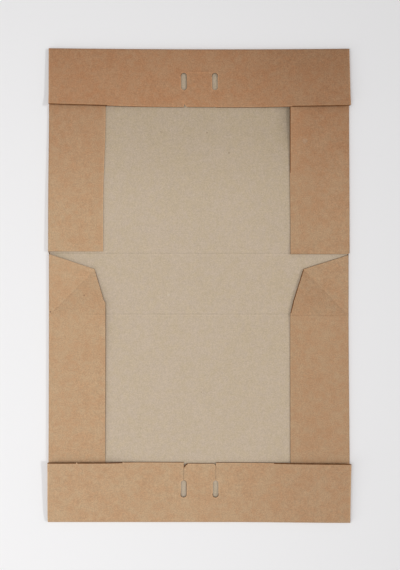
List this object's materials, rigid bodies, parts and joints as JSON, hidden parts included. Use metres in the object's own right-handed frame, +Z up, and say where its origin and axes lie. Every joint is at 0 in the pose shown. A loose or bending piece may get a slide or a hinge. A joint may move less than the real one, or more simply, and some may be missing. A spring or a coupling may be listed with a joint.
{
  "type": "flattened cardboard box",
  "caption": "Flat-folded cardboard box blank, walls folded in over lid, spine and base, with end flaps that fold open.",
  "frame": {"origin": "under the middle of the whole blank, on the surface that it lies on", "axes": "X across the blank, +Y along it towards the lid's end, +Z up out of the inside face"},
  "size_m": [0.3132, 0.49, 0.0076],
  "materials": {
    "grey_board": "matte",
    "kraft_board": "matte"
  },
  "bodies": {
    "sheet": {"folded_sheet": "grey_board"},
    "lid_flap": {"lid_end_flap": "kraft_board"},
    "base_flap": {"base_end_flap": "kraft_board"}
  },
  "joints": [
    {"name": "lid_flap_fold", "type": "hinge", "parent": "sheet", "child": "lid_flap", "pos_m": [0, 0.24317, 0.00183], "axis": [-1, 0, 0], "range_deg": [0, 175]},
    {"name": "base_flap_fold", "type": "hinge", "parent": "sheet", "child": "base_flap", "pos_m": [0, -0.24317, 0.00183], "axis": [1, 0, 0], "range_deg": [0, 175]}
  ]
}
